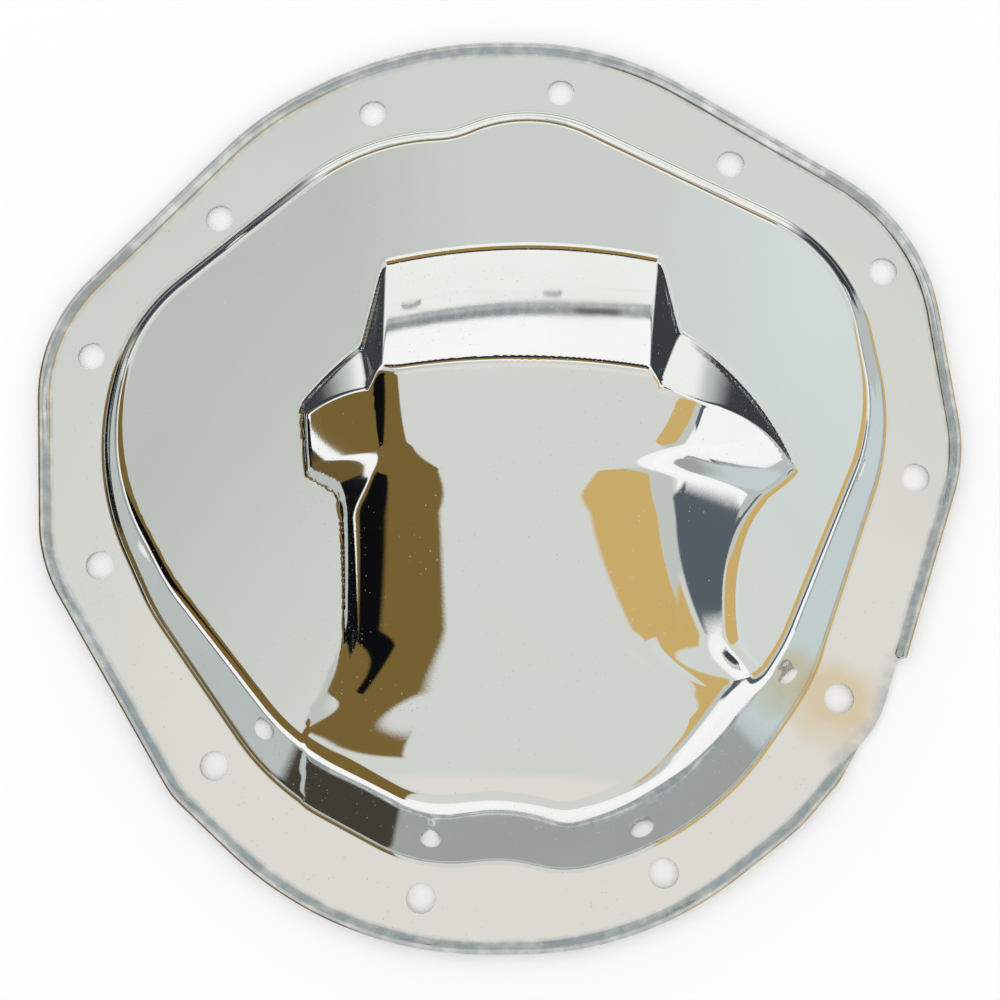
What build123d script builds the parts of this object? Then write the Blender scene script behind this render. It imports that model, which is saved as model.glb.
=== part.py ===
from build123d import *

import os
from math import atan, cos, radians, sin, sqrt, tan

os.makedirs("parts", exist_ok=True)

# The cover is pressed from one steel sheet. It lies on its gasket face, which is at Z = 0,
# with the dome pointing up. The origin is the middle of the cover's outline and +Y points to
# the side where the dome is shallow. Lengths are in millimetres, angles in degrees.

# Sheet, flange and turned-up lip
sheet = 1.5                  # thickness of the steel
lip_rise = 2.5               # height of the lip above the upper face of the flange
lip_flare = 25               # how far the lip leans outwards
lip_bend = 1.0               # inner radius of the bend between flange and lip
trim = 2.0                   # how far inside the lip the edge lies where the lip is cut away
trim_top = -55.0             # Y of the square end of that cut
trim_bottom = -80.5          # Y where the cut runs out through the lip
bolt_hole = 8.73             # clearance for a 5/16 inch bolt

# Each corner is (X, Y, radius). The two outlines are drawn at the top of the lip and at
# the line where the dome leaves the upper face of the flange.
lip_corners = [
    (140.5, 5.5, 50), (131.0, 77.5, 60), (65.5, 119.5, 46), (35.0, 138.0, 98),
    (-28.5, 139.0, 120), (-73.0, 116.0, 100), (-140.5, 45.5, 50), (-135.5, -26.5, 48),
    (-92.5, -95.0, 25), (-43.0, -139.0, 110), (44.0, -137.5, 104), (89.0, -102.5, 58),
    (114.5, -73.5, 30),
]
dome_corners = [
    (119.5, 13.5, 70), (109.0, 70.0, 52), (12.0, 120.0, 46), (-13.0, 109.5, 25),
    (-42.5, 108.0, 70), (-112.5, 49.0, 54), (-121.5, 1.0, 82), (-101.0, -40.5, 78),
    (-63.0, -92.0, 76), (-20.0, -114.0, 46), (5.0, -111.5, 40), (22.5, -115.0, 30),
    (61.0, -105.0, 86), (93.0, -61.0, 80),
]
holes = [
    (-38.4, 116.5), (20.8, 122.7), (73.4, 98.5), (118.9, 63.4), (126.0, -0.6), (101.5, -65.7),
    (50.2, -115.5), (-19.3, -123.2), (-80.6, -86.3), (-117.8, -27.2), (-123.9, 37.7),
    (-85.8, 82.1),
]

# Dome: a low pan with leaning walls and a sloping, slightly crowned top
pan_draft = 27               # lean of the pan's wall
pan_low_y = 113.0            # Y of the shallow end of the pan
pan_low = 8.0                # height of the crown there
pan_high_y = -96.0           # Y of the deep end
pan_high = 37.0              # height of the crown there
pan_crown = 900.0            # radius of the crown, across the slope
pan_shoulder = 4.0           # radius between wall and top
pan_foot = 2.5               # radius between wall and flange

# Bulge for the ring gear: a long face that climbs to a ridge, two wings behind which it
# falls away, and between them a boxy hood
ridge_y = 17.0               # Y of the ridge
ridge = 71.5                 # height of the ridge, the highest place of the cover
ridge_mid = 11.0             # X where the ridge reaches furthest back
face_low_y = -89.0           # Y where the long face comes down to the pan's top
wing_back = 57               # fall of the wings behind the ridge
wing_curve = 82.0            # radius of the wings' back, seen from above
hood_foot_y = 67.0           # Y where the hood leaves the pan
hood_left, hood_right = -26.5, 44.5      # the sides of the hood at its top
hood_draft = 18              # lean of those sides
hood_curve = 150.0           # radius of the hood's front, seen along its slope
hood_round = 3.0             # radius along the crest and the edges of the hood
end_wall = 12                # lean of the steep wall on the left

# Sections across the long face: Y, then for the left X where its round starts, the round's
# radius, the slope it ends with and X of the steep wall, then for the right start, radius
# and slope
face_sections = [
    (ridge_y, -17.0, 12, 42, -47.0, 36.0, 34, 50),
    (-1.0, -15.0, 14, 44, -47.0, 34.0, 34, 48),
    (-10.0, -8.0, 28, 54, -40.0, 24.0, 36, 46),
    (-20.0, -4.0, 40, 58, -38.0, 20.0, 40, 44),
    (-50.0, -5.0, 40, 58, -39.0, 29.0, 40, 42),
    (-66.0, -7.0, 42, 54, -45.0, 42.0, 34, 42),
    (-80.0, -11.0, 40, 50, -49.0, 42.0, 26, 40),
    (-103.0, -18.0, 36, 46, -50.0, 30.0, 20, 40),
]
floor = 2.5                  # level down to which the bulge is drawn, inside the pan

pan_slope = atan((pan_high - pan_low) / (pan_low_y - pan_high_y))
face_low = pan_low + (pan_low_y - face_low_y) * tan(pan_slope)
face_slope = atan((ridge - face_low) / (ridge_y - face_low_y))
hood_slope = atan((ridge - pan_low - (pan_low_y - hood_foot_y) * tan(pan_slope))
                  / (hood_foot_y - ridge_y))


def outline(corners):
    """Face inside a closed outline with rounded corners."""
    with BuildSketch() as shape:
        with BuildLine():
            FilletPolyline(*[(x, y) for x, y, _ in corners], radius=[r for _, _, r in corners],
                           close=True)
        make_face()
    return shape.sketch


def fall(run, radius, slope):
    """How far an edge with this radius and last slope has come down after this run."""
    end = radius * sin(radians(slope))
    if run < end:
        return radius - sqrt(radius ** 2 - run ** 2)
    return radius * (1 - cos(radians(slope))) + (run - end) * tan(radians(slope))


# Each of the next solids is the outer face of the pressing. With the sheet as inset it is the
# inner face, so that the sheet keeps its thickness everywhere.

def walls(inset):
    """Space inside the pan's leaning walls, carried on straight up above them."""
    base = Plane.XY.offset(sheet - inset / sin(radians(pan_draft)))
    with BuildPart() as form:
        with BuildSketch(base):
            add(outline(dome_corners))
        extrude(amount=pan_high + 2 * pan_shoulder - base.origin.Z)
        draft(form.faces().filter_by(Axis.Z, reverse=True), base, pan_draft)
        extrude(form.faces().sort_by(Axis.Z)[-1], amount=ridge)
    return form.part


def pan(inset):
    """The low pan of the dome."""
    slope = Plane(origin=(0, pan_low_y, pan_low), x_dir=(1, 0, 0),
                  z_dir=(0, -cos(pan_slope), sin(pan_slope)))
    reach = 1.2 * (pan_low_y - pan_high_y)
    half = 150.0
    top = -inset
    sag = (half ** 2) / (2 * pan_crown)
    with BuildPart() as form:
        add(walls(inset))
        with BuildSketch(slope):
            with BuildLine():
                ThreePointArc((-half, top - sag), (0, top), (half, top - sag))
                Polyline((half, top - sag), (half, -100), (-half, -100), (-half, top - sag))
            make_face()
        extrude(amount=reach, both=True, mode=Mode.INTERSECT)
        crown = form.faces().filter_by(GeomType.CYLINDER).sort_by(SortBy.AREA)[-1]
        fillet(crown.edges(), radius=pan_shoulder - inset)
    return form.part


def section(y, left, left_round, left_slope, wall_x, right, right_round, right_slope, inset):
    """Cross-section of the long face at Y: a flat that rounds over on both sides."""
    down = inset / cos(face_slope)
    top = ridge - (ridge_y - y) * tan(face_slope) - down
    left_round, right_round = left_round - down, right_round - down
    wall_x += inset / cos(radians(end_wall))
    wall_top = top - fall(left - wall_x, left_round, left_slope)
    with BuildSketch(Plane.XZ.offset(-y)) as shape:
        with BuildLine():
            flat = Line((left, top), (right, top))
            over = JernArc(flat @ 1, (1, 0), right_round, -right_slope)
            end = over @ 1
            foot_x = end.X + (end.Y - floor) / tan(radians(right_slope))
            back = JernArc(flat @ 0, (-1, 0), left_round, left_slope)
            Polyline(end, (foot_x, floor),
                     (wall_x - (wall_top - floor) * tan(radians(end_wall)), floor),
                     (wall_x, wall_top), back @ 1)
        make_face()
    return shape.sketch


def long_face(inset):
    """The long face, carried on upwards beyond the ridge."""
    with BuildPart() as form:
        for y, *values in [(hood_foot_y + pan_shoulder, *face_sections[0][1:]), *face_sections]:
            add(section(y, *values, inset))
        loft(ruled=True)
    return form.part


def wings(inset):
    """The long face, cut off behind the ridge along a curve."""
    radius = wing_curve - inset / sin(radians(wing_back))
    fall_line = (0, cos(radians(wing_back)), -sin(radians(wing_back)))
    with BuildPart() as form:
        add(long_face(inset))
        with BuildSketch(Plane.XY.offset(ridge)):
            with Locations((ridge_mid, ridge_y - wing_curve)):
                Circle(radius)
                Rectangle(2 * radius, 2 * radius, align=(Align.CENTER, Align.MAX))
        extrude(amount=2 * ridge, dir=fall_line, both=True, mode=Mode.INTERSECT)
        back = form.faces().filter_by(GeomType.EXTRUSION).sort_by(SortBy.AREA)[-1]
        crest = back.edges().filter_by_position(Axis.Z, floor + 1, ridge)
        fillet(crest, radius=hood_round - inset)
    return form.part


def hood(inset):
    """The boxy hood in front of the ridge."""
    lean = tan(radians(hood_draft))
    side = inset * sqrt(1 + lean ** 2 * (1 + tan(hood_slope) ** 2))
    top = ridge - inset / cos(hood_slope)
    left, right = hood_left + side, hood_right - side
    middle = (left + right) / 2
    sag = (right - middle) ** 2 / (2 * hood_curve)
    fall_line = Vector(0, cos(hood_slope), -sin(hood_slope))
    start = Plane(Vector(0, ridge_y, 0) - ridge * fall_line, (1, 0, 0), (0, -1, 0))
    with BuildPart() as form:
        with BuildSketch(start):
            with BuildLine():
                ThreePointArc((left, top - sag), (middle, top), (right, top - sag))
                Polyline((right, top - sag), (right + (top - sag) * lean, 0),
                         (left - (top - sag) * lean, 0), (left, top - sag))
            make_face()
        extrude(amount=3 * ridge, dir=fall_line)
        long_edges = form.edges().filter_by(Axis((0, 0, 0), fall_line)).sort_by(Axis.Z)
        fillet(long_edges[-2:], radius=hood_round - inset)
        add(long_face(inset), mode=Mode.INTERSECT)
        front = form.faces().filter_by(GeomType.EXTRUSION).sort_by(SortBy.AREA)[-1]
        crest = front.edges().filter_by(Axis((0, 0, 0), fall_line), reverse=True)
        fillet(crest.filter_by_position(Axis.Y, ridge_y - hood_curve, ridge_y),
               radius=hood_round - inset)
    return form.part


def dome(inset):
    """The whole dome."""
    with BuildPart() as form:
        add(wings(inset))
        add(hood(inset))
        add(walls(inset), mode=Mode.INTERSECT)
        add(pan(inset))
    return form.part


def tray(inset, bottom):
    """The space inside the leaning lip, from this level up to the lip's top."""
    with BuildPart() as form:
        with BuildSketch(Plane.XY.offset(bottom)):
            add(outline(lip_corners))
        extrude(amount=lip_top - bottom)
        draft(form.faces().filter_by(Axis.Z, reverse=True),
              Plane.XY.offset(lip_top + inset / sin(radians(lip_flare))), -lip_flare)
        fillet(form.faces().sort_by(Axis.Z)[0].edges(), radius=lip_bend + sheet - inset)
    return form.part


# The whole pressing: flange with its lip, then the dome, then the cut in the lip and the holes
lip_top = sheet + lip_rise

with BuildPart() as differential_cover:
    add(tray(0, 0))
    add(tray(sheet, sheet), mode=Mode.SUBTRACT)
    add(dome(0))
    add(dome(sheet), mode=Mode.SUBTRACT)
    level = differential_cover.faces().filter_by(Axis.Z).sort_by(SortBy.AREA)
    gasket_face, upper_face = level[-2:].sort_by(Axis.Z)
    fillet(upper_face.inner_wires().edges(), radius=pan_foot)
    fillet(gasket_face.inner_wires().edges(), radius=pan_foot + sheet)

    with BuildSketch() as cut:
        with BuildLine():
            Polyline((95, trim_top + 12), (160, trim_top - 10), (160, trim_bottom - 30),
                     (95, trim_bottom + 4), close=True)
        make_face()
        offset(outline(lip_corners), amount=-trim, mode=Mode.SUBTRACT)
    extrude(amount=2 * lip_top, mode=Mode.SUBTRACT)

    with Locations(*holes):
        Hole(radius=bolt_hole / 2)

differential_cover.part.label = "differential_cover"
export_step(differential_cover.part, "parts/differential_cover.step")
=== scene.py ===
# %% [markdown]
# # A chromed differential cover
# A differential cover closes the back of an axle. This one is a single pressed sheet of steel,
# polished and chromed. The CAD model gives the frame and the size. A mirror shows every facet,
# so this script makes a much finer mesh of the same pressing, and then builds the room that the
# chrome reflects. Loading the frame comes first, because everything is placed in it.

# %% Frame
from math import cos, pi, radians, sin, tan

import bpy
import numpy as np
from mathutils import Matrix, Vector


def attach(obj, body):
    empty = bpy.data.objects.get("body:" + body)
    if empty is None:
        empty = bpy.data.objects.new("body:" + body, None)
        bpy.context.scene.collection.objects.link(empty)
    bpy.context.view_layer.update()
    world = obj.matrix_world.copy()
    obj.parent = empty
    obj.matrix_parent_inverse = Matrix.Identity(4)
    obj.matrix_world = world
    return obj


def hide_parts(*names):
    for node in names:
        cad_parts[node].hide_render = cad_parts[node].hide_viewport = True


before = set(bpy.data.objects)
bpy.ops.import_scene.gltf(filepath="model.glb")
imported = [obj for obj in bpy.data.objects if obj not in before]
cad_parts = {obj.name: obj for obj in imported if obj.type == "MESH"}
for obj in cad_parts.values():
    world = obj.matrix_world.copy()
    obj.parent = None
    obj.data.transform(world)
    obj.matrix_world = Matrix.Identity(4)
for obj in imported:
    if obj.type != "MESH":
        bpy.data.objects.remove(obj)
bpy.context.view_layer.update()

mm = 0.001

# %% [markdown]
# ## The outlines
# Two closed lines run round the cover: the top of the lip, and the foot of the dome. On the
# press tool they are straight runs joined by arcs. They could be drawn as curves, but here each
# is a short list of corners, so that the distance to it can be worked out anywhere.
# Each corner is (x, y, radius) in millimetres, anticlockwise.

# %% Outlines
lip_corners = [
    (140.5, 5.5, 50), (131.0, 77.5, 60), (65.5, 119.5, 46), (35.0, 138.0, 98),
    (-28.5, 139.0, 120), (-73.0, 116.0, 100), (-140.5, 45.5, 50), (-135.5, -26.5, 48),
    (-92.5, -95.0, 25), (-43.0, -139.0, 110), (44.0, -137.5, 104), (89.0, -102.5, 58),
    (114.5, -73.5, 30),
]
dome_corners = [
    (119.5, 13.5, 70), (109.0, 70.0, 52), (12.0, 120.0, 46), (-13.0, 109.5, 25),
    (-42.5, 108.0, 70), (-112.5, 49.0, 54), (-121.5, 1.0, 82), (-101.0, -40.5, 78),
    (-63.0, -92.0, 76), (-20.0, -114.0, 46), (5.0, -111.5, 40), (22.5, -115.0, 30),
    (61.0, -105.0, 86), (93.0, -61.0, 80),
]
print("outlines:", len(lip_corners), "and", len(dome_corners), "corners")

# %% [markdown]
# ## Rounding the corners
# Every corner becomes an arc that touches both of its straight runs. A corner where the outline
# bends inwards turns the other way, and `side` keeps note of that.

# %% Corner arcs


def corner_arcs(corners):
    """The rounding at each corner: centre, radius, +1 if it bulges out, first and last point."""
    points = np.array([corner[:2] for corner in corners])
    arcs = []
    for i, (x, y, radius) in enumerate(corners):
        here = points[i]
        before_it = here - points[i - 1]
        after_it = points[(i + 1) % len(points)] - here
        before_it /= np.linalg.norm(before_it)
        after_it /= np.linalg.norm(after_it)
        turn = np.arctan2(before_it[0] * after_it[1] - before_it[1] * after_it[0],
                          before_it @ after_it)
        side = 1 if turn > 0 else -1
        reach = radius * abs(tan(turn / 2))
        start = here - before_it * reach
        centre = start + np.array([-before_it[1], before_it[0]]) * side * radius
        arcs.append((centre, radius, side, start, here + after_it * reach))
    return arcs


print("corners that bend inwards:", sum(arc[2] < 0 for arc in corner_arcs(dome_corners)))

# %% [markdown]
# ## How deep a point lies inside an outline
# The wall of the dome rises with the distance from its foot, and the lip keeps its distance from
# the edge. So both need the distance to the nearest straight run or arc.

# %% Distance inside an outline


def depth_inside(corners, x, y):
    """Distance from the outline, positive inside it."""
    arcs = corner_arcs(corners)
    nearest = np.full(np.shape(x), 1e9)
    for i, (centre, radius, side, start, end) in enumerate(arcs):
        line_start = arcs[i - 1][4]
        along = start - line_start
        length = np.linalg.norm(along)
        along = along / length
        run = (x - line_start[0]) * along[0] + (y - line_start[1]) * along[1]
        off = (y - line_start[1]) * along[0] - (x - line_start[0]) * along[1]
        on_line = (run >= 0) & (run <= length) & (abs(off) < abs(nearest))
        nearest = np.where(on_line, off, nearest)

        dx, dy = x - centre[0], y - centre[1]
        away = np.hypot(dx, dy)
        middle = (start + end) / 2 - centre
        middle /= np.linalg.norm(middle)
        half = (start - centre) @ middle / radius
        off = (radius - away) * side
        on_arc = (dx * middle[0] + dy * middle[1] >= half * away - 1e-9)
        nearest = np.where(on_arc & (abs(off) < abs(nearest)), off, nearest)
    return nearest


print("foot of the dome to its middle:",
      round(float(depth_inside(dome_corners, np.array(0.0), np.array(0.0))), 1), "mm")

# %% [markdown]
# ## Points on an outline
# The mesh is made of spokes that run out from the middle, so an outline is also needed as one
# point for each spoke's angle.

# %% Points on an outline
arc_steps = 60


def outline_points(corners, angles):
    """Points on the outline, spread over these angles round the origin."""
    x, y = [], []
    for centre, radius, side, start, end in corner_arcs(corners):
        first = np.arctan2(*(start - centre)[::-1])
        sweep = np.arctan2(*(end - centre)[::-1]) - first
        sweep = (sweep + pi) % (2 * pi) - pi
        turn = first + sweep * np.linspace(0, 1, arc_steps)
        x.extend(centre[0] + radius * np.cos(turn))
        y.extend(centre[1] + radius * np.sin(turn))
    x, y = np.array(x), np.array(y)
    angle = np.arctan2(y, x)
    return np.stack([np.interp(angles, angle, x, period=2 * pi),
                     np.interp(angles, angle, y, period=2 * pi)], axis=-1)


widths = np.ptp(outline_points(lip_corners, np.linspace(-pi, pi, 720)), axis=0)
print("outline of the lip:", widths.round(1), "mm")

# %% [markdown]
# ## Sizes of the pressing
# A low pan slopes up from the back of the cover to its front, which is the -Y side. On it stands
# the bulge over the ring gear: a long face that rises from the front to a curved ridge, wings to
# both sides of the ridge, and a boxy hood behind it. All sizes are in millimetres and degrees.

# %% Sizes
sheet = 1.5
wall_draft = 27
wall_foot = 3.0                       # width of the round at the foot of the wall
shoulder = 5.0                        # width of the round at the top of the wall
pan_low_y, pan_low = 113.0, 8.0       # shallow end of the pan, at the back, and its height
pan_high_y, pan_high = -96.0, 37.0    # deep end, at the front
pan_crown = 900.0                     # radius of its crown

ridge_y, ridge, ridge_mid = 17.0, 71.5, 11.0
face_low_y = -89.0                    # the long face reaches the pan here
wing_back, wing_curve = 57, 82.0      # fall of the wings, radius of their back from above
hood_foot_y = 67.0
hood_left, hood_right, hood_draft, hood_curve = -26.5, 44.5, 18, 150.0
hood_spread = 0.12                    # how fast the hood widens towards its foot, each side
crest_round, side_round = 2.4, 5.0    # widths of the rounds along the crest and the hood
end_wall, end_wall_round = 78, 3.0    # slope of the steep wall on the left, and its round
bulge_rim, bulge_foot = 6.0, 3.0      # rounds where the bulge meets the wall and the pan
pimple_x, pimple_y, pimple, pimple_reach = -14.8, -102.5, 0.5, 1.8    # a dimple on the wall
print("ridge over the gasket face:", ridge, "mm")

# %% [markdown]
# ## Stations along the long face
# The face isn't the same all along: its left side drops steeply, and its right side rounds over
# gently. A few cross sections, from the ridge to the deep end, say how. Each row gives y, then on
# the left where the round starts, its radius, its last slope and the x of the steep wall, and
# then start, radius and slope on the right.

# %% Stations
stations = np.array([
    (17.0, -19.0, 12.0, 49.0, -50.0, 51.0, 12.0, 52.0),
    (-3.0, -17.0, 13.0, 50.0, -50.0, 43.0, 15.0, 51.0),
    (-10.0, -8.0, 28.0, 54.0, -40.0, 23.0, 42.0, 48.0),
    (-20.0, -4.0, 40.0, 58.0, -38.0, 18.0, 48.0, 47.0),
    (-50.0, -5.0, 40.0, 58.0, -39.0, 27.0, 48.0, 45.0),
    (-66.0, -8.0, 54.0, 54.0, -46.0, 48.0, 34.0, 42.0),
    (-80.0, -13.0, 90.0, 50.0, -49.0, 54.0, 30.0, 40.0),
    (-103.0, -18.0, 36.0, 46.0, -50.0, 54.0, 30.0, 40.0),
])[::-1]
print("cross sections:", len(stations))

# %% [markdown]
# ## Rounds between two faces
# A drawn sheet never has a sharp edge. `smooth_max` takes the higher of two faces and
# `smooth_min` the lower, and both join them with a round of a given width. That is simpler than
# bevelling edges afterwards, and it still works where a face runs out.

# %% Rounds


def smooth_max(a, b, width):
    near = np.maximum(width - abs(a - b), 0) / width
    return np.maximum(a, b) + near * near * width / 4


def smooth_min(a, b, width):
    return -smooth_max(-a, -b, width)


def smooth_step(start, end, x):
    t = np.clip((x - start) / (end - start), 0, 1)
    return t * t * (3 - 2 * t)


def rounded_drop(run, radius, slope):
    """Fall of a face that rounds over with this radius until it has this slope in degrees."""
    slope = np.radians(slope)
    run = np.maximum(run, 0)
    end = radius * np.sin(slope)
    arc = radius - np.sqrt(radius ** 2 - np.minimum(run, end) ** 2)
    return arc + np.maximum(run - end, 0) * np.tan(slope)


print("two level faces meet with a lift of", smooth_max(0.0, 0.0, wall_foot), "mm")

# %% [markdown]
# ## Between the stations
# The values in between follow cubic curves that never overshoot a station. A plain cubic spline
# would leave waves, and a mirror shows waves that the eye can't see on paint.

# %% Between the stations


def along_face(y):
    """The columns of stations at y, as monotone cubic curves."""
    ys, values = stations[:, 0], stations[:, 1:]
    step = np.diff(ys)[:, None]
    slope = np.diff(values, axis=0) / step
    tangent = np.zeros_like(values)
    same = slope[:-1] * slope[1:] > 0
    w1, w2 = 2 * step[1:] + step[:-1], step[1:] + 2 * step[:-1]
    with np.errstate(divide="ignore", invalid="ignore"):
        mean = (w1 + w2) / (w1 / slope[:-1] + w2 / slope[1:])
    tangent[1:-1] = np.where(same, mean, 0)
    tangent[0], tangent[-1] = slope[0], slope[-1]
    y = np.clip(y, ys[0], ys[-1])
    i = np.clip(np.searchsorted(ys, y) - 1, 0, len(ys) - 2)
    t = ((y - ys[i]) / np.diff(ys)[i])[..., None]
    width = np.diff(ys)[i][..., None]
    curve = ((1 + 2 * t) * (1 - t) ** 2 * values[i] + t * (1 - t) ** 2 * width * tangent[i]
             + t * t * (3 - 2 * t) * values[i + 1] + t * t * (t - 1) * width * tangent[i + 1])
    return np.moveaxis(curve, -1, 0)


print("right round half way down:", along_face(np.array([-35.0]))[4:6, 0].round(1), "mm")

# %% [markdown]
# ## The pan
# The pan is nearly flat. Its slight crown stiffens the real sheet, and here it also gives the
# chrome its soft change of tone from left to right.

# %% Pan


def pan_height(x, y):
    """The sloping, slightly crowned top of the low pan."""
    deeper = (pan_low_y - y) / (pan_low_y - pan_high_y)
    return pan_low + deeper * (pan_high - pan_low) - x ** 2 / (2 * pan_crown)


print("pan at its middle:", round(pan_height(0.0, 0.0), 1), "mm")

# %% [markdown]
# ## The bulge
# Each face is a plain height over the flange. The long face falls from the ridge, the wings cut
# it off along a curved line, and the hood is a third roof that stands out behind.

# %% Bulge
hood_joint_start, hood_joint_end, hood_joint_round = 4, 10, 2


def bulge_height(x, y):
    """The bulge over the ring gear: long face, wings and hood meeting in a curved ridge."""
    pan_slope = (pan_high - pan_low) / (pan_low_y - pan_high_y)
    face_low = pan_low + (pan_low_y - face_low_y) * pan_slope
    face_slope = (ridge - face_low) / (ridge_y - face_low_y)
    hood_low = pan_low + (pan_low_y - hood_foot_y) * pan_slope
    hood_slope = (ridge - hood_low) / (hood_foot_y - ridge_y)

    left, left_round, left_slope, wall_x, right, right_round, right_slope = along_face(
        np.minimum(y, ridge_y))
    plateau = ridge - (ridge_y - y) * face_slope
    face = (plateau - rounded_drop(left - x, left_round, left_slope)
            - rounded_drop(x - right, right_round, right_slope))
    wall_top = plateau - rounded_drop(left - wall_x, left_round, left_slope)
    face = smooth_min(face, wall_top + (x - wall_x) * tan(radians(end_wall)), end_wall_round)

    across = np.clip(x - ridge_mid, -wing_curve, wing_curve)
    back_y = ridge_y - wing_curve + np.sqrt(wing_curve ** 2 - across ** 2)
    wings = smooth_min(face, ridge - (y - back_y) * tan(radians(wing_back)), crest_round)
    middle = (hood_left + hood_right) / 2
    front = ridge - (x - middle) ** 2 / (2 * hood_curve) - (y - ridge_y) * hood_slope
    low = ridge - (hood_right - middle) ** 2 / (2 * hood_curve) - (y - ridge_y) * hood_slope
    steep = tan(radians(90 - hood_draft))
    spread = hood_spread * np.maximum(y - ridge_y, 0)
    hood = smooth_min(front, low + (x - hood_left + spread) * steep, side_round)
    hood = smooth_min(hood, low - (x - hood_right - spread) * steep, side_round)
    hood = smooth_min(hood, face, crest_round)
    joint = smooth_step(hood_joint_start, hood_joint_end, y - back_y)
    return smooth_max(wings, hood, 0.01 + hood_joint_round * joint)


print("bulge at the ridge:", round(float(bulge_height(np.array(11.0), np.array(16.0))), 1), "mm")

# %% [markdown]
# ## The whole upper face
# The wall cuts off the pan and the bulge, and the flange carries them all. The normals come from
# the same formula. Normals worked out from the facets would show in the mirror.

# %% Upper face


def height(x, y):
    """Height of the upper face of the sheet above the gasket face, inside the lip."""
    wall = sheet + depth_inside(dome_corners, x, y) / tan(radians(wall_draft))
    pan = smooth_min(wall, pan_height(x, y), shoulder)
    bulge = smooth_min(bulge_height(x, y), wall, bulge_rim)
    dome = smooth_max(pan, bulge, bulge_foot)
    from_pimple = np.hypot(x - pimple_x, y - pimple_y)
    dome = dome + pimple * np.exp(-(from_pimple / pimple_reach) ** 2)
    return smooth_max(dome, sheet + 0 * x, wall_foot)


def normals(x, y, step=0.15):
    """Upward normals of the surface from its slopes."""
    east = (height(x + step, y) - height(x - step, y)) / (2 * step)
    north = (height(x, y + step) - height(x, y - step)) / (2 * step)
    up = np.stack([-east, -north, np.ones_like(east)], axis=-1)
    return up / np.linalg.norm(up, axis=-1, keepdims=True)


print("height at the ridge:", round(float(height(np.array(11.0), np.array(16.0))), 1), "mm")

# %% [markdown]
# ## Rings over the dome
# A grid of squares would leave a jagged edge at the flange. Rings that follow the dome's own
# outline don't, so the mesh is rings of points, closer together near the wall. Every ring has
# the same number of points, and neighbours join into quads.

# %% Dome rings
spokes = 480
foot_margin = 4.0                     # the dome's rings start this far outside its foot
wall_share = 0.78                     # beyond this share of the way out the rings lie closer
angles = np.linspace(-pi, pi, spokes, endpoint=False)
foot = outline_points(dome_corners, angles)
outward = foot / np.linalg.norm(foot, axis=1, keepdims=True)
foot_edge = foot + outward * foot_margin


def dome_ring(share):
    """A ring on the upper face, at this share of the way from the middle to the foot."""
    x, y = (foot_edge * share).T
    return np.stack([x, y, height(x, y)], axis=-1)


inner = np.linspace(0, wall_share, 100, endpoint=False)[1:]
outer = np.linspace(wall_share, 1, 38)
upper_rings = [dome_ring(share) for share in np.concatenate([inner, outer])]
print("rings over the dome:", len(upper_rings))

# %% [markdown]
# ## The lip
# The edge of the flange is turned up and leans out, which stiffens it. At the lower right a
# stretch of the lip was sheared off: it ends in a square cut at the top and in a point at the
# bottom. `lip_share` is 1 where the lip is whole and 0 where it is gone.

# %% Lip shape
lip_rise, lip_flare, lip_bend = 2.5, 25, 1.0
trim, trim_top, trim_bottom = 2.0, -55.0, -80.5
trim_side, trim_tail = 60, 9          # the cut lies right of this x and fades over this length
lip_edge = outline_points(lip_corners, angles)
lean = tan(radians(lip_flare))
lip_in = lip_edge / np.linalg.norm(lip_edge, axis=1, keepdims=True)
on_cut = ((lip_edge[:, 0] > trim_side) & (lip_edge[:, 1] < trim_top)
          & (lip_edge[:, 1] > trim_bottom - trim_tail))
tail = np.clip((trim_bottom - lip_edge[:, 1]) / trim_tail, 0, 1)
lip_share = np.where(on_cut, tail, 1.0)[:, None]
print("spokes on the sheared stretch:", int(on_cut.sum()))

# %% [markdown]
# ## Rings over the lip
# The section of the lip is a short list of points, each a distance in from the edge and a level.
# It runs over the bend, up the inner face, over the raw edge and down the outside.

# %% Lip rings


def lip_ring(inset, level):
    """A ring at this distance inside the lip's top edge; level counts from the gasket face."""
    raised = max(level - sheet, 0) * lip_share
    lost = trim * (1 - lip_share)
    xy = lip_edge - lip_in * (np.maximum(inset, 0) * lip_share + lost)
    return np.concatenate([xy, min(level, sheet) + raised], axis=1)


top = sheet + lip_rise
flare = lip_rise * lean
bend_start = flare + sheet + lip_bend
lip_section = [
    (bend_start + 0.6, sheet), (bend_start, sheet), (bend_start - 0.7, sheet + 0.15),
    (flare * 0.85 + sheet, sheet + 0.75), (sheet * 0.93 + 0.1, top - 0.12),
    (sheet * 0.93, top), (0.12, top), (0.0, top - 0.15),
    (flare * 0.75, sheet - 0.1), (flare + 0.7, 0.35), (flare + 1.4, 0.0), (bend_start, 0.0),
]
edge_rings = [lip_ring(inset, level) for inset, level in lip_section]
flange_start = edge_rings[0]
flange_rings = [upper_rings[-1] * (1 - t) + flange_start * t for t in (0.25, 0.5, 0.75)]
print("lip:", lip_rise, "mm high,", round(flare, 1), "mm of flare")

# %% [markdown]
# ## The underside
# Nobody sees the inside of the cover in use, but the mesh must close. It is the upper face moved
# down by the sheet's thickness along the normal, with fewer rings.

# %% Underside rings


def under_ring(share):
    """The same ring on the underside, one sheet's thickness along the normal."""
    x, y = (foot_edge * share).T
    point = np.stack([x, y, height(x, y)], axis=-1) - normals(x, y) * sheet
    point[:, 2] = np.maximum(point[:, 2], 0)
    return point


under_shares = np.concatenate([[1.0], np.linspace(0.97, 0.8, 12), np.linspace(0.76, 0.03, 26)])
under_rings = [under_ring(share) for share in under_shares]
print("rings underneath:", len(under_rings))

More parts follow.
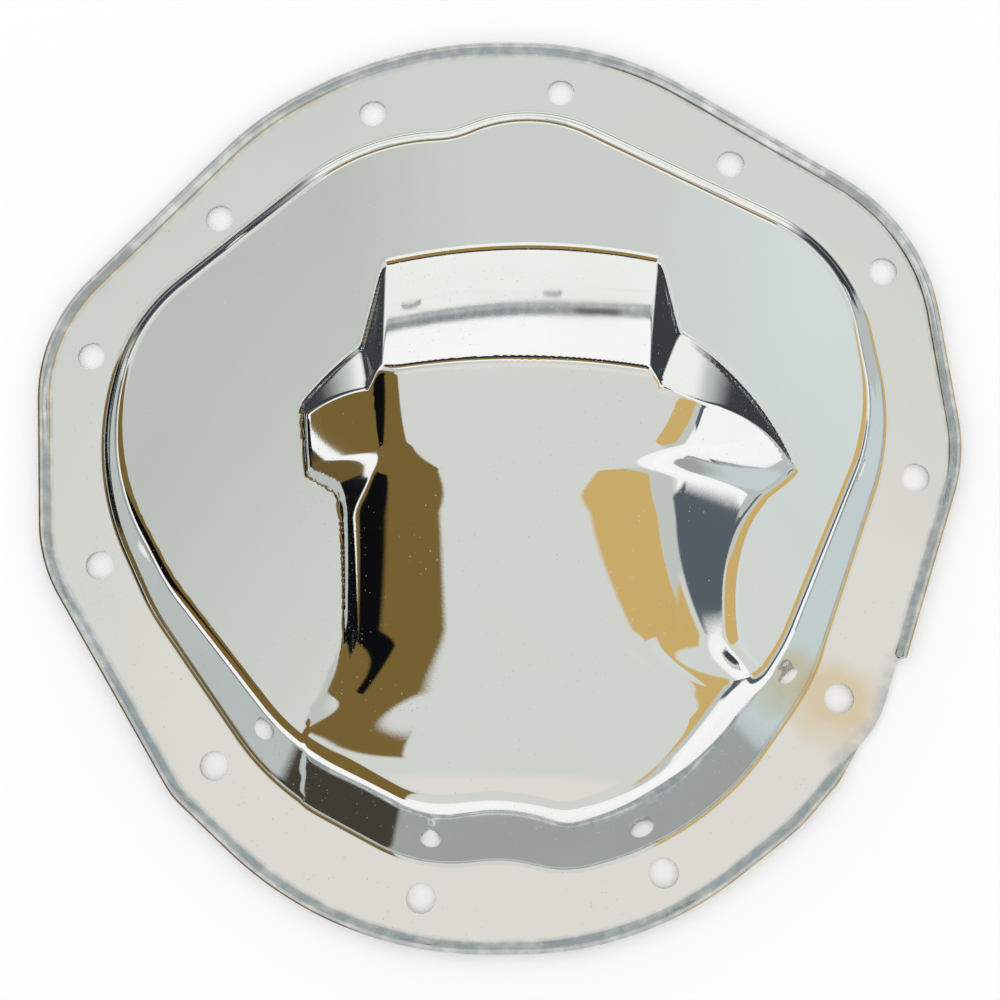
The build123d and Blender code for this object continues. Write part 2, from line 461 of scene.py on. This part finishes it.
# %% [markdown]
# ## One closed mesh
# All rings are joined in order, and a fan of triangles closes each end at the middle.

# %% Mesh
rings = [*upper_rings, *flange_rings, *edge_rings, *under_rings]
middle_top = np.array([[0.0, 0.0, float(height(np.array(0.0), np.array(0.0)))]])
middle_under = middle_top - np.array([[0.0, 0.0, sheet * 1.05]])
points = np.concatenate([*rings, middle_top, middle_under])

ring_of = np.arange(len(rings) - 1)[:, None] * spokes
spoke = np.arange(spokes)[None, :]
next_spoke = (spoke + 1) % spokes
quads = np.stack([ring_of + spoke, ring_of + spokes + spoke,
                  ring_of + spokes + next_spoke, ring_of + next_spoke], axis=-1).reshape(-1, 4)
last = (len(rings) - 1) * spokes
centre_top, centre_under = len(points) - 2, len(points) - 1
faces = [*quads.tolist(),
         *[(centre_top, i, (i + 1) % spokes) for i in range(spokes)],
         *[(centre_under, last + (i + 1) % spokes, last + i) for i in range(spokes)]]

mesh = bpy.data.meshes.new("cover")
mesh.from_pydata((points * mm).tolist(), [], faces)
cover = bpy.data.objects.new("cover", mesh)
bpy.context.scene.collection.objects.link(cover)
print("mesh:", len(points), "points,", len(faces), "faces")

# %% [markdown]
# ## The bolt holes
# Twelve bolts hold the cover to the axle. One boolean cuts all their holes with a single object
# made of twelve short cylinders, which is quicker than twelve booleans.

# %% Cutters
bolt_hole = 8.73
holes = [
    (-38.4, 116.5), (20.8, 122.7), (73.4, 98.5), (118.9, 63.4), (126.0, -0.6), (101.5, -65.7),
    (50.2, -115.5), (-19.3, -123.2), (-80.6, -86.3), (-117.8, -27.2), (-123.9, 37.7),
    (-85.8, 82.1),
]
sides, cutter_reach = 48, 4
turn = np.linspace(0, 2 * pi, sides, endpoint=False)
cutter_points, cutter_faces = [], []
for x, y in holes:
    first = len(cutter_points)
    for level in (-cutter_reach, cutter_reach):
        cutter_points += [((x + bolt_hole / 2 * cos(a)) * mm, (y + bolt_hole / 2 * sin(a)) * mm,
                           level * mm) for a in turn]
    cutter_faces += [(first + i, first + (i + 1) % sides, first + sides + (i + 1) % sides,
                      first + sides + i) for i in range(sides)]
    cutter_faces += [list(range(first + sides - 1, first - 1, -1)),
                     list(range(first + sides, first + 2 * sides))]
cutter_mesh = bpy.data.meshes.new("cutters")
cutter_mesh.from_pydata(cutter_points, [], cutter_faces)
cutters = bpy.data.objects.new("cutters", cutter_mesh)
bpy.context.scene.collection.objects.link(cutters)
print("cutters:", len(holes), "of", bolt_hole, "mm")

# %% [markdown]
# The modifier's result becomes the cover's own mesh, and the cutters are deleted again.

# %% Holes
cut = cover.modifiers.new("holes", "BOOLEAN")
cut.operation = "DIFFERENCE"
cut.solver = "MANIFOLD"
cut.object = cutters
holed = bpy.data.meshes.new_from_object(cover.evaluated_get(bpy.context.evaluated_depsgraph_get()))
cover.modifiers.clear()
cover.data = holed
bpy.data.objects.remove(cutters)
print("after the holes:", len(cover.data.vertices), "points")

# %% [markdown]
# ## Smooth normals
# The true normals of the formula are given to every point on the dome, and straight up to every
# point on the flat of the flange. The rest keeps Blender's own, sharp at the edges.

# %% Normals
sharp_edge, flat_within = 35, 0.02
dome_margin, face_within = 2.5, 0.05
cover.data.polygons.foreach_set("use_smooth", [True] * len(cover.data.polygons))
cover.data.set_sharp_from_angle(angle=radians(sharp_edge))
place = np.empty(len(cover.data.vertices) * 3)
cover.data.vertices.foreach_get("co", place)
x, y, z = place.reshape(-1, 3).T / mm
near_dome = depth_inside(dome_corners, x, y) > -dome_margin
on_dome = near_dome & (abs(height(x, y) - z) < face_within)
custom = np.where(on_dome[:, None], normals(x, y), 0)
custom[~on_dome & (abs(z - sheet) < flat_within)] = (0, 0, 1)
cover.data.normals_split_custom_set_from_vertices(custom.tolist())
print("points with the formula's normal:", int(on_dome.sum()))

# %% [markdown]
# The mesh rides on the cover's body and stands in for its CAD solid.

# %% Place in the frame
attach(cover, "root")
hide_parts("differential_cover")
print("the cover rides on the root body")

# %% [markdown]
# ## Masks for the lip and the underside
# Two numbers are stored at each point for the chrome to read. `lip` is 1 on the turned-up lip,
# where the steel is duller and its darker tint is partly painted shade. `under` is 1 on the
# underside, which was never polished.

# %% Masks
lip_fade, skin = 0.5, 0.4
lip_mask = np.clip(bend_start + lip_fade - depth_inside(lip_corners, x, y), 0, 1)
on_top = (z > height(x, y) - skin) | (z > sheet - skin / 2)
under_mask = np.where(on_top, 0.0, 1.0) * (1 - lip_mask)
for name, values in (("lip", lip_mask), ("under", under_mask)):
    made = cover.data.attributes.new(name, "FLOAT", "POINT")
    made.data.foreach_set("value", values.astype(np.float32))
print("points on the lip:", int((lip_mask > 0.5).sum()), "underneath:", int(under_mask.sum()))

# %% [markdown]
# ## Helpers for node trees
# Both the chrome and the room are node trees. These helpers add one node each to `tree`, which
# is whichever tree is being filled, and return its output.

# %% Node helpers


def node(kind, **values):
    made = tree.nodes.new(kind)
    for name, value in values.items():
        setattr(made, name, value)
    return made


def calc(operation, *inputs):
    """A Math node. Numbers are typed in, and sockets are linked."""
    made = node("ShaderNodeMath", operation=operation)
    for i, value in enumerate(inputs):
        if isinstance(value, (int, float)):
            made.inputs[i].default_value = value
        else:
            tree.links.new(value, made.inputs[i])
    return made.outputs[0]


def ramp(value, start, soft):
    """0 below start, 1 above it, with a soft edge."""
    share = calc("DIVIDE", calc("SUBTRACT", value, start - soft / 2), soft)
    share.node.use_clamp = True
    return share


def blend(share, below, above):
    """One colour over another by a share from 0 to 1."""
    made = node("ShaderNodeMix", data_type="RGBA")
    for name, value in (("Factor", share), ("A", below), ("B", above)):
        if isinstance(value, tuple):
            made.inputs[name].default_value = value
        else:
            tree.links.new(value, made.inputs[name])
    return made.outputs["Result"]


print("helpers: node, calc, ramp, blend")

# %% [markdown]
# ## Chrome
# Chrome is a nearly perfect mirror, so most of its colour comes from the room. Its own detail
# is slight: an orange peel, a patchy haze, tiny pits, one amber stain and a duller lip, whose
# darker tint is partly painted shade. Each is a mask made from noise, and the masks steer colour
# and roughness.

# %% Chrome
chrome = bpy.data.materials.new("chrome")
chrome.use_nodes = True
tree = chrome.node_tree
shader = tree.nodes["Principled BSDF"]
shader.inputs["Metallic"].default_value = 1.0
spot = node("ShaderNodeTexCoord").outputs["Object"]


def noise(scale, detail=2.0):
    """A value from 0 to 1 that wanders over the cover."""
    made = node("ShaderNodeTexNoise")
    made.inputs["Scale"].default_value = scale
    made.inputs["Detail"].default_value = detail
    tree.links.new(spot, made.inputs["Vector"])
    return made.outputs["Fac"]


haze = ramp(noise(28, 4.0), 0.52, 0.30)
grain = noise(1500, 1.0)
print("chrome: haze and grain")

# %% [markdown]
# ## Pits
# The plating is pitted in places. A fine Voronoi pattern splits space into cells. Only some
# cells hold a pit, a dot at the cell's middle, and only where a broad noise allows it.

# %% Pits
pit_cells, pit_size, pit_free = 700, 0.14, 0.6    # cells a metre, dot in a cell, empty share
cells = node("ShaderNodeTexVoronoi")
cells.inputs["Scale"].default_value = pit_cells
tree.links.new(spot, cells.inputs["Vector"])
chance = node("ShaderNodeSeparateColor")
tree.links.new(cells.outputs["Color"], chance.inputs[0])
pits = calc("MULTIPLY", calc("LESS_THAN", cells.outputs["Distance"], pit_size),
            calc("GREATER_THAN", chance.outputs[0], pit_free))
pits = calc("MULTIPLY", pits, ramp(noise(40), 0.48, 0.1))
print("pits: about", round(pit_size / pit_cells / mm, 2), "mm in radius")

# %% [markdown]
# ## Stain
# An amber stain spreads unevenly round one bolt hole at the lower right. Its mask is the
# distance from the hole, pushed about by noise.

# %% Stain
stain_centre = (100.0 * mm, -67.0 * mm, sheet * mm)
stain_reach, stain_soft, stain_stray = 17 * mm, 9 * mm, 12 * mm
from_stain = node("ShaderNodeVectorMath", operation="DISTANCE")
tree.links.new(spot, from_stain.inputs[0])
from_stain.inputs[1].default_value = stain_centre
stray = calc("MULTIPLY", noise(90, 3.0), stain_stray)
reach = calc("ADD", from_stain.outputs["Value"], stray)
stain = calc("SUBTRACT", 1.0, ramp(reach, stain_reach, stain_soft))
print("stain: up to", round(stain_reach / mm), "mm from its middle")

# %% [markdown]
# ## Colour of the chrome
# The masks lay one tint over another, from the cleanest chrome to the marks on top of it.

# %% Colour
clean, hazed = (0.93, 0.94, 0.93, 1), (0.90, 0.905, 0.885, 1)
amber, dull_steel_and_painted_shade = (0.88, 0.72, 0.46, 1), (0.62, 0.65, 0.68, 1)
unpolished, pit_white = (0.70, 0.70, 0.68, 1), (0.95, 0.96, 0.97, 1)
lip = node("ShaderNodeAttribute", attribute_name="lip").outputs["Fac"]
under = node("ShaderNodeAttribute", attribute_name="under").outputs["Fac"]
tint = blend(calc("MULTIPLY", haze, 0.5), clean, hazed)
tint = blend(calc("MULTIPLY", stain, 0.75), tint, amber)
# The lip's tint is duller steel, and partly painted shade that darkens the lip's bend.
tint = blend(calc("MULTIPLY", lip, ramp(noise(220, 3.0), 0.42, 0.3)), tint, dull_steel_and_painted_shade)
tint = blend(under, tint, unpolished)
tint = blend(pits, tint, pit_white)
tree.links.new(tint, shader.inputs["Base Color"])
print("tints on the chrome: 6")

# %% [markdown]
# ## Roughness of the chrome
# Each mask adds a little roughness. A pit is so rough that it shows as a pale dot even in the
# black of a reflection.

# %% Roughness
rough = calc("ADD", 0.035, calc("MULTIPLY", haze, 0.035))
rough = calc("ADD", rough, calc("MULTIPLY", stain, 0.10))
rough = calc("ADD", rough, calc("MULTIPLY", lip, 0.06))
rough = calc("ADD", rough, calc("MULTIPLY", under, 0.25))
rough = calc("MAXIMUM", rough, calc("MULTIPLY", pits, 0.6))
tree.links.new(rough, shader.inputs["Roughness"])
print("roughness: 0.035 where clean")

# %% [markdown]
# ## Orange peel
# Plated sheet has a fine unevenness that stirs the edges of what it mirrors. It is far too small
# to model, so it is a bump of less than two hundredths of a millimetre.

# %% Orange peel
peel = node("ShaderNodeBump")
peel.inputs["Strength"].default_value = 0.12
peel.inputs["Distance"].default_value = 0.02 * mm
tree.links.new(grain, peel.inputs["Height"])
tree.links.new(peel.outputs["Normal"], shader.inputs["Normal"])
cover.data.materials.clear()
cover.data.materials.append(chrome)
print("chrome nodes:", len(tree.nodes))

# %% [markdown]
# ## The room
# The camera sees plain white. The chrome sees a pale tent overhead and cards round it, as in a
# photographer's studio. Cards could be planes with light on them. Painting them on the world by
# direction is quicker to render and gives clean edges. Each card is given by its bearing and its
# height above the horizon in degrees. Bearing 0 is the front, towards -Y, and bearings grow to
# the right.

# %% Directions
world = bpy.data.worlds.new("room")
bpy.context.scene.world = world
world.use_nodes = True
world.cycles.sampling_method = "NONE"      # a mirror finds the cards by itself
tree = world.node_tree
tree.nodes.clear()
direction = node("ShaderNodeSeparateXYZ")
tree.links.new(node("ShaderNodeTexCoord").outputs["Generated"], direction.inputs[0])
right_way, back_way, up_way = direction.outputs
bearing = calc("MULTIPLY", calc("ARCTAN2", right_way, calc("MULTIPLY", back_way, -1.0)), 180 / pi)
elevation = calc("MULTIPLY", calc("ARCSINE", up_way), 180 / pi)
print("the world is read by bearing and elevation")

# %% [markdown]
# A card lies in front of what is already there, and the tent is the cloth behind them all.

# %% Tent and card


def colour(rgb):
    """A colour as seen on screen, in the linear values that the shader takes."""
    return (*[(c / 255) ** 2.2 for c in rgb], 1)


def tent(rgb):
    """The cloth behind all the cards."""
    made = node("ShaderNodeRGB")
    made.outputs[0].default_value = colour(rgb)
    return made.outputs[0]


def card(below, rgb, bearings, elevations, soft=2.0):
    """A flat card in the room, in front of what is already there. Bearings whose first is
    the larger run round behind the cover."""
    (first, last), (low, high) = bearings, elevations
    if first > last:
        gap = calc("MULTIPLY", ramp(bearing, last, soft),
                   calc("SUBTRACT", 1.0, ramp(bearing, first, soft)))
        inside = calc("SUBTRACT", 1.0, gap)
    else:
        inside = calc("MULTIPLY", ramp(bearing, first, soft),
                      calc("SUBTRACT", 1.0, ramp(bearing, last, soft)))
    inside = calc("MULTIPLY", inside, ramp(elevation, low, soft))
    inside = calc("MULTIPLY", inside, calc("SUBTRACT", 1.0, ramp(elevation, high, soft)))
    return blend(inside, below, colour(rgb))


everywhere = (-360, 360)
print("a pale card's linear value:", round(colour((214, 216, 211))[0], 2))

# %% [markdown]
# ## Cards that the chrome shows directly
# The pan mirrors the back wall, the left shoulder of the bulge a brown cloth with a dark doorway
# in it, and the right shoulder a gold cloth.

# %% Cards
room = tent((214, 216, 211))
room = card(room, (226, 223, 217), everywhere, (72, 95), 10)          # lamp straight above
room = card(room, (207, 211, 209), (110, -110), (30, 59), 3)          # back wall
room = card(room, (193, 196, 191), (-166, -110), (30, 59), 16)        # its left end in shade
room = card(room, (215, 223, 221), (110, 158), (30, 59), 16)          # its right end, cooler
room = card(room, (250, 250, 248), everywhere, (-95, -7), 3)          # white paper, far out
room = card(room, (246, 247, 244), (152, -152), (16, 34), 2)          # window low at the back
room = card(room, (156, 124, 66), (152, -152), (0, 16), 1)            # wooden sill under it
room = card(room, (50, 52, 56), (152, -152), (-20, 0), 2)             # shade under the sill
room = card(room, (206, 174, 110), (28, 95), (12, 53), 2)             # gold cloth on the right
room = card(room, (206, 174, 110), (94, 121), (3, 42), 2)             # its far end hangs lower
room = card(room, (196, 199, 194), (28, 94), (-4, 12), 2)             # pale strip under it
room = card(room, (88, 96, 104), (66, 103), (-14, -3), 2)             # dark strip below that
room = card(room, (120, 99, 56), (-118, -25), (-35, 54), 2)           # brown cloth on the left
room = card(room, (21, 21, 23), (-93, -74), (-12, 30), 2)             # dark doorway in it
print("nodes in the room so far:", len(tree.nodes))

# %% [markdown]
# ## Cards seen by way of a second reflection
# Light that the chrome has already reflected once comes from another side of the room, and looks
# softer and greyer. These cards give the wall round the dome and the sides of the hood.

# %% Far cards
far = tent((192, 197, 196))
far = card(far, (250, 250, 247), (150, -150), (-30, 70), 2)           # white wall at the back
far = card(far, (62, 65, 68), (125, 147), (-12, 52), 3)               # dark screens beside it
far = card(far, (62, 65, 68), (-147, -125), (-12, 52), 3)
far = card(far, (110, 92, 54), (-125, -50), (-5, 33), 3)              # brown cloth on the left
far = card(far, (70, 66, 58), (-50, -27), (20, 60), 3)                # dark corner at the front
far = card(far, (164, 168, 167), (-27, 60), (20, 60), 3)              # grey front
far = card(far, (206, 218, 220), (60, 112), (20, 60), 3)              # cool light on the right
far = card(far, (21, 21, 23), (-116, -84), (2, 30), 3)                # dark doorway
print("nodes in the room now:", len(tree.nodes))

# %% [markdown]
# ## Who sees what
# `Glossy Depth` tells how often a ray has been reflected. Camera rays and the light on the floor
# get plain white instead of the cards.

# %% World output
path = node("ShaderNodeLightPath")
twice = calc("GREATER_THAN", path.outputs["Glossy Depth"], 1.5)
seen = node("ShaderNodeBackground")
tree.links.new(blend(twice, room, far), seen.inputs["Color"])
white = node("ShaderNodeBackground")
white.inputs["Color"].default_value = (1, 1, 1, 1)
plain = calc("MAXIMUM", path.outputs["Is Camera Ray"], path.outputs["Is Diffuse Ray"])
pick = node("ShaderNodeMixShader")
tree.links.new(plain, pick.inputs[0])
tree.links.new(seen.outputs[0], pick.inputs[1])
tree.links.new(white.outputs[0], pick.inputs[2])
output = node("ShaderNodeOutputWorld")
tree.links.new(pick.outputs[0], output.inputs["Surface"])
print("nodes in the whole room:", len(tree.nodes))

# %% [markdown]
# ## Floor
# The cover lies on a small sheet of white paper, just under its flange so that the two don't
# flicker. The sheet is small because steep parts of the chrome look past it at the cards.

# %% Floor
floor_size, floor_drop = 0.36, 0.0002
half = floor_size / 2
floor_mesh = bpy.data.meshes.new("floor")
floor_mesh.from_pydata([(-half, -half, 0), (half, -half, 0), (half, half, 0), (-half, half, 0)],
                       [], [(0, 1, 2, 3)])
floor = bpy.data.objects.new("floor", floor_mesh)
bpy.context.scene.collection.objects.link(floor)
floor.location.z = -floor_drop
paper = bpy.data.materials.new("paper")
paper.use_nodes = True
paper_shader = paper.node_tree.nodes["Principled BSDF"]
paper_shader.inputs["Base Color"].default_value = (1, 1, 1, 1)
paper_shader.inputs["Roughness"].default_value = 1.0
paper_shader.inputs["Specular IOR Level"].default_value = 0.0
floor.data.materials.append(paper)
print("floor:", floor_size, "m wide")

# %% [markdown]
# ## Camera
# The camera looks almost straight down, a little from the front and the right. Its place and
# its three axes were worked out from the bolt holes in the photograph.

# %% Camera
camera_data = bpy.data.cameras.new("camera")
camera_data.lens, camera_data.sensor_width = 52.2, 36
camera_data.clip_start = 0.01
camera = bpy.data.objects.new("camera", camera_data)
bpy.context.scene.collection.objects.link(camera)
camera_place = (0.02028, -0.08085, 0.4295)
right = Vector((0.99917, 0.00689, -0.04007))
up = Vector((0.0, 0.98555, 0.16935))
away = Vector((-0.04066, 0.16921, -0.98474))
turn_matrix = Matrix((right, up, -away)).transposed().to_4x4()
camera.matrix_world = Matrix.Translation(camera_place) @ turn_matrix
bpy.context.scene.camera = camera
bpy.context.scene.view_settings.view_transform = "Standard"
print("camera height:", camera_place[2], "m")
